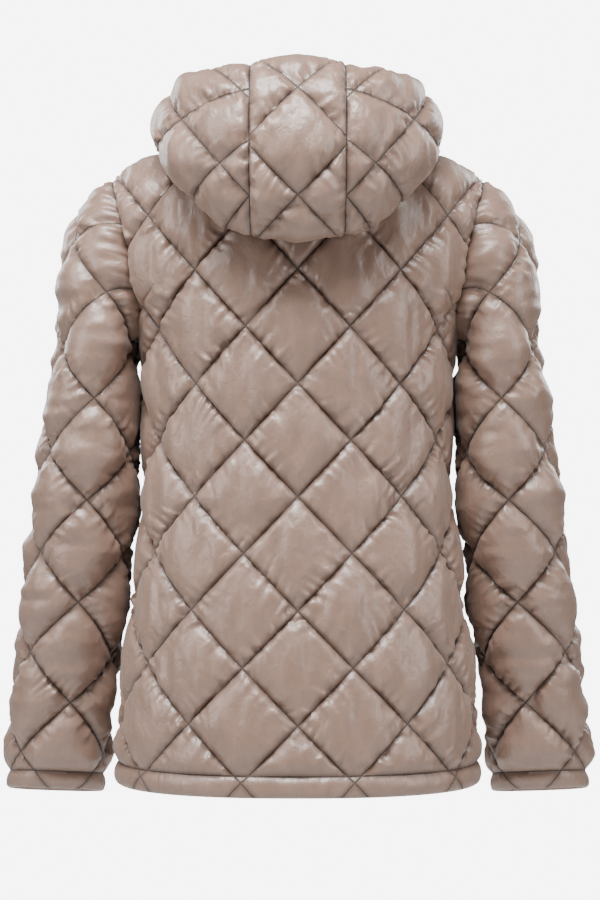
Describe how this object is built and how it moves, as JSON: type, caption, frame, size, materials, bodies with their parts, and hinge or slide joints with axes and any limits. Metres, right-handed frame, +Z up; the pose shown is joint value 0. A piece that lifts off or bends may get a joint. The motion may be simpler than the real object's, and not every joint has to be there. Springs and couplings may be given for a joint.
{
  "type": "quilted jacket",
  "caption": "Hip-length diamond-quilted jacket with long sleeves, a front zip and a full hood lying back.",
  "frame": {"origin": "centre of the neck at the height of the nape, where the wearer holds the jacket up", "axes": "+Z up the back, +X to the wearer's left, +Y backwards, so the zip faces -Y"},
  "size_m": [0.638, 0.3741, 0.7713],
  "materials": {
    "quilted_nylon": "soft satin sheen, diamond quilting over light padding",
    "zip_tape": "matt woven tape with moulded teeth",
    "zip_metal": "satin cast metal"
  },
  "bodies": {
    "jacket": {"back": "quilted_nylon", "front_left": "quilted_nylon", "front_right": "quilted_nylon", "sleeve_left": "quilted_nylon", "sleeve_right": "quilted_nylon", "hood_centre": "quilted_nylon", "hood_left": "quilted_nylon", "hood_right": "quilted_nylon", "zip_tape_left": "zip_tape", "zip_tape_right": "zip_tape", "zip_slider": "zip_metal"},
    "zip_pull_tab": {"zip_pull": "zip_metal"}
  },
  "joints": [
    {"name": "zip_pull_swing", "type": "hinge", "parent": "jacket", "child": "zip_pull_tab", "pos_m": [0, -0.1243, -0.04725], "axis": [-1, 0, 0], "range_deg": [0, 150]}
  ]
}
